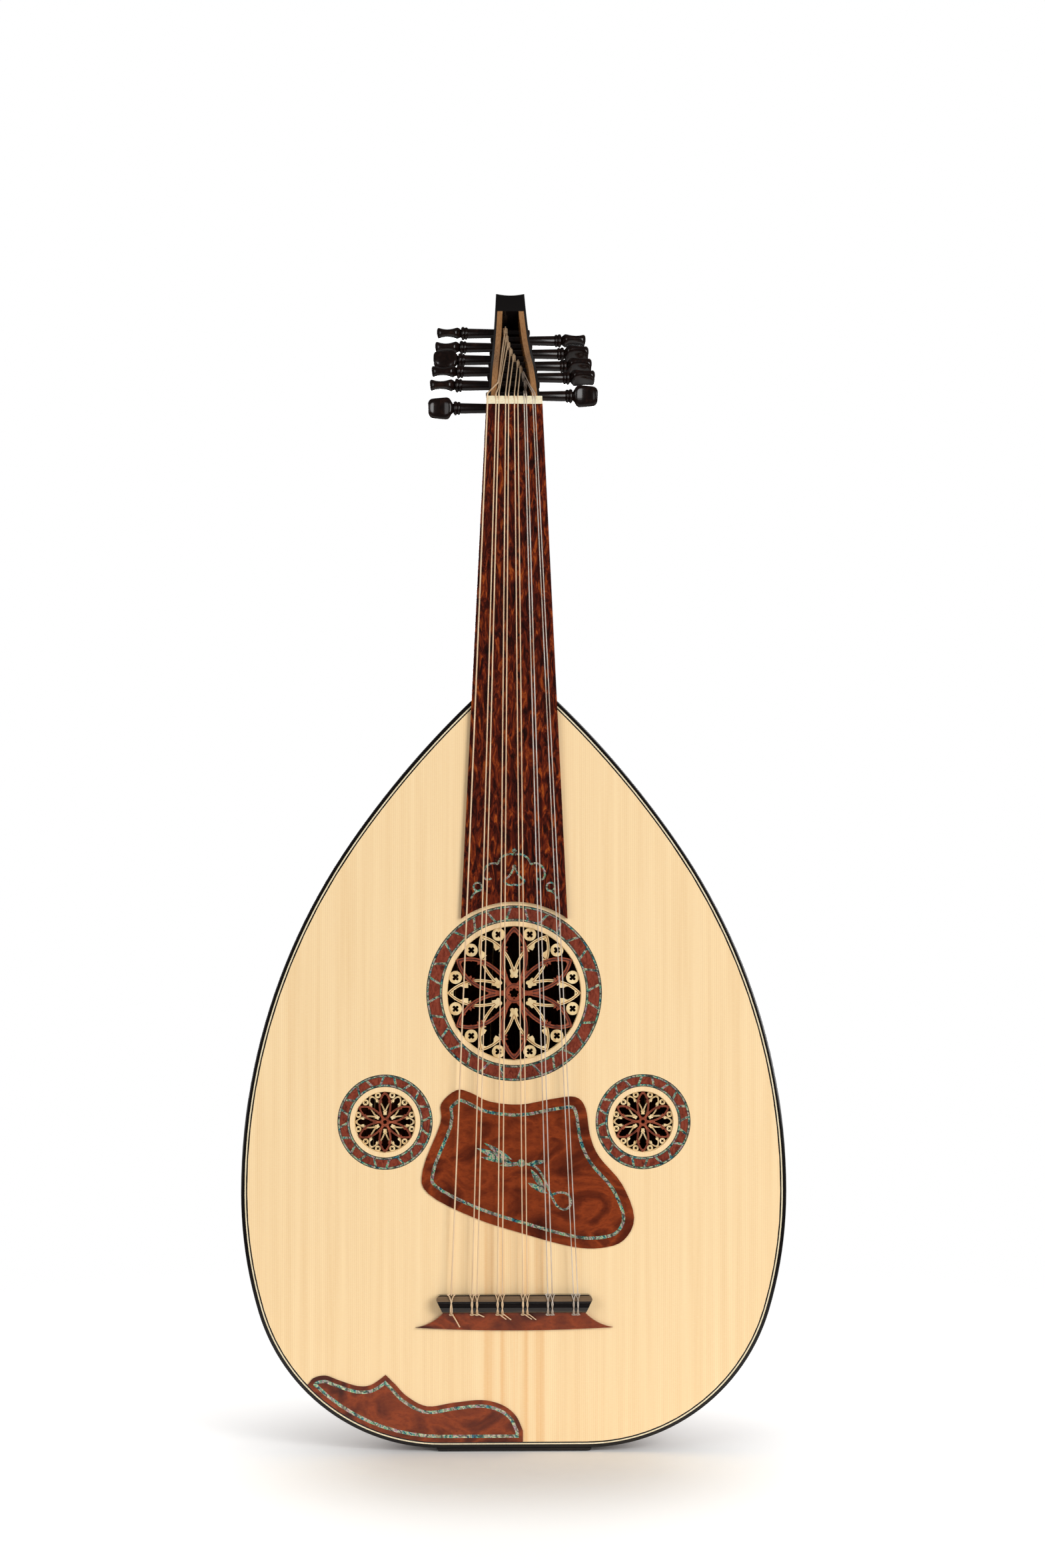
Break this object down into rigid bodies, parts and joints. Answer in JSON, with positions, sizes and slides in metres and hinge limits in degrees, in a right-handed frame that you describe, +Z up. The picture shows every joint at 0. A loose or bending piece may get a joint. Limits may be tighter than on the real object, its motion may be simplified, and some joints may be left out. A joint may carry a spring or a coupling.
{
  "type": "oud",
  "caption": "Short-necked lute with a staved pear-shaped bowl, three pierced roses, a burl pickguard, a tied-string bridge and a swept-back pegbox with turning pegs.",
  "frame": {"origin": "on the centre line, in the front plane of the neck, at the nut edge where the sounding strings begin", "axes": "+X to the treble side, +Y back into the bowl, +Z up along the neck from the tail to the pegbox"},
  "size_m": [0.359, 0.1914, 0.7838],
  "materials": {
    "spruce": "satin, clear finish",
    "brace_spruce": "planed, unfinished",
    "ebony_edge": "gloss",
    "light_edge": "gloss",
    "walnut": "gloss lacquer",
    "maple": "gloss lacquer",
    "block_maple": "sawn, unfinished",
    "rose_wood": "satin",
    "rose_maple": "satin",
    "ring_wood": "gloss",
    "abalone": "polished, iridescent",
    "burl": "gloss",
    "ebony": "gloss",
    "neck_wood": "gloss lacquer",
    "snakewood": "gloss",
    "bone": "polished",
    "peg_wood": "polished",
    "wound_string": "wound over silk",
    "nylon_string": "clear nylon"
  },
  "bodies": {
    "root": {"soundboard_left": "spruce", "soundboard_right": "spruce", "soundboard_braces": "brace_spruce", "binding": "ebony_edge", "purfling": "light_edge", "bowl_ribs": "walnut", "rib_stringing": "maple", "neck_block": "block_maple", "tail_block": "block_maple", "tail_clasp": "ebony_edge", "main_rose_top": "rose_wood", "main_rose_under": "rose_maple", "small_roses_top": "rose_wood", "small_roses_under": "rose_maple", "rosette_rings": "ring_wood", "rosette_shell": "abalone", "pickguard": "burl", "corner_guard": "burl", "guard_shell": "abalone", "bridge_bar": "ebony", "bridge_base": "burl", "neck": "neck_wood", "fingerboard": "snakewood", "fingerboard_shell": "abalone", "nut": "bone", "pegbox_left_wall": "ebony", "pegbox_right_wall": "ebony", "pegbox_back": "ebony", "pegbox_head": "ebony", "pegbox_edging": "maple", "string_course_1": "wound_string", "string_course_2": "wound_string", "string_course_3": "wound_string", "string_course_4": "wound_string", "string_course_5": "nylon_string", "string_course_6": "nylon_string"},
    "peg_body_1": {"peg_1": "peg_wood", "winding_1": "nylon_string"},
    "peg_body_2": {"peg_2": "peg_wood", "winding_2": "nylon_string"},
    "peg_body_3": {"peg_3": "peg_wood", "winding_3": "nylon_string"},
    "peg_body_4": {"peg_4": "peg_wood", "winding_4": "nylon_string"},
    "peg_body_5": {"peg_5": "peg_wood", "winding_5": "wound_string"},
    "peg_body_6": {"peg_6": "peg_wood", "winding_6": "wound_string"},
    "peg_body_7": {"peg_7": "peg_wood", "winding_7": "wound_string"},
    "peg_body_8": {"peg_8": "peg_wood", "winding_8": "wound_string"},
    "peg_body_9": {"peg_9": "peg_wood", "winding_9": "wound_string"},
    "peg_body_10": {"peg_10": "peg_wood", "winding_10": "wound_string"},
    "peg_body_11": {"peg_11": "peg_wood", "winding_11": "wound_string"}
  },
  "joints": [
    {"name": "peg_turn_1", "type": "hinge", "parent": "root", "child": "peg_body_1", "pos_m": [0, 0.01871, -0.0007], "axis": [1, 0, 0], "continuous": true},
    {"name": "peg_turn_2", "type": "hinge", "parent": "root", "child": "peg_body_2", "pos_m": [0, 0.02765, 0.00861], "axis": [1, 0, 0], "continuous": true},
    {"name": "peg_turn_3", "type": "hinge", "parent": "root", "child": "peg_body_3", "pos_m": [0, 0.03784, 0.01674], "axis": [1, 0, 0], "continuous": true},
    {"name": "peg_turn_4", "type": "hinge", "parent": "root", "child": "peg_body_4", "pos_m": [0, 0.04909, 0.0235], "axis": [1, 0, 0], "continuous": true},
    {"name": "peg_turn_5", "type": "hinge", "parent": "root", "child": "peg_body_5", "pos_m": [0, 0.0615, 0.02893], "axis": [1, 0, 0], "continuous": true},
    {"name": "peg_turn_6", "type": "hinge", "parent": "root", "child": "peg_body_6", "pos_m": [0, 0.07489, 0.0344], "axis": [1, 0, 0], "continuous": true},
    {"name": "peg_turn_7", "type": "hinge", "parent": "root", "child": "peg_body_7", "pos_m": [0, 0.08816, 0.04008], "axis": [1, 0, 0], "continuous": true},
    {"name": "peg_turn_8", "type": "hinge", "parent": "root", "child": "peg_body_8", "pos_m": [0, 0.10135, 0.04598], "axis": [1, 0, 0], "continuous": true},
    {"name": "peg_turn_9", "type": "hinge", "parent": "root", "child": "peg_body_9", "pos_m": [0, 0.11449, 0.05214], "axis": [1, 0, 0], "continuous": true},
    {"name": "peg_turn_10", "type": "hinge", "parent": "root", "child": "peg_body_10", "pos_m": [0, 0.12762, 0.05858], "axis": [1, 0, 0], "continuous": true},
    {"name": "peg_turn_11", "type": "hinge", "parent": "root", "child": "peg_body_11", "pos_m": [0, 0.14077, 0.06533], "axis": [1, 0, 0], "continuous": true}
  ]
}
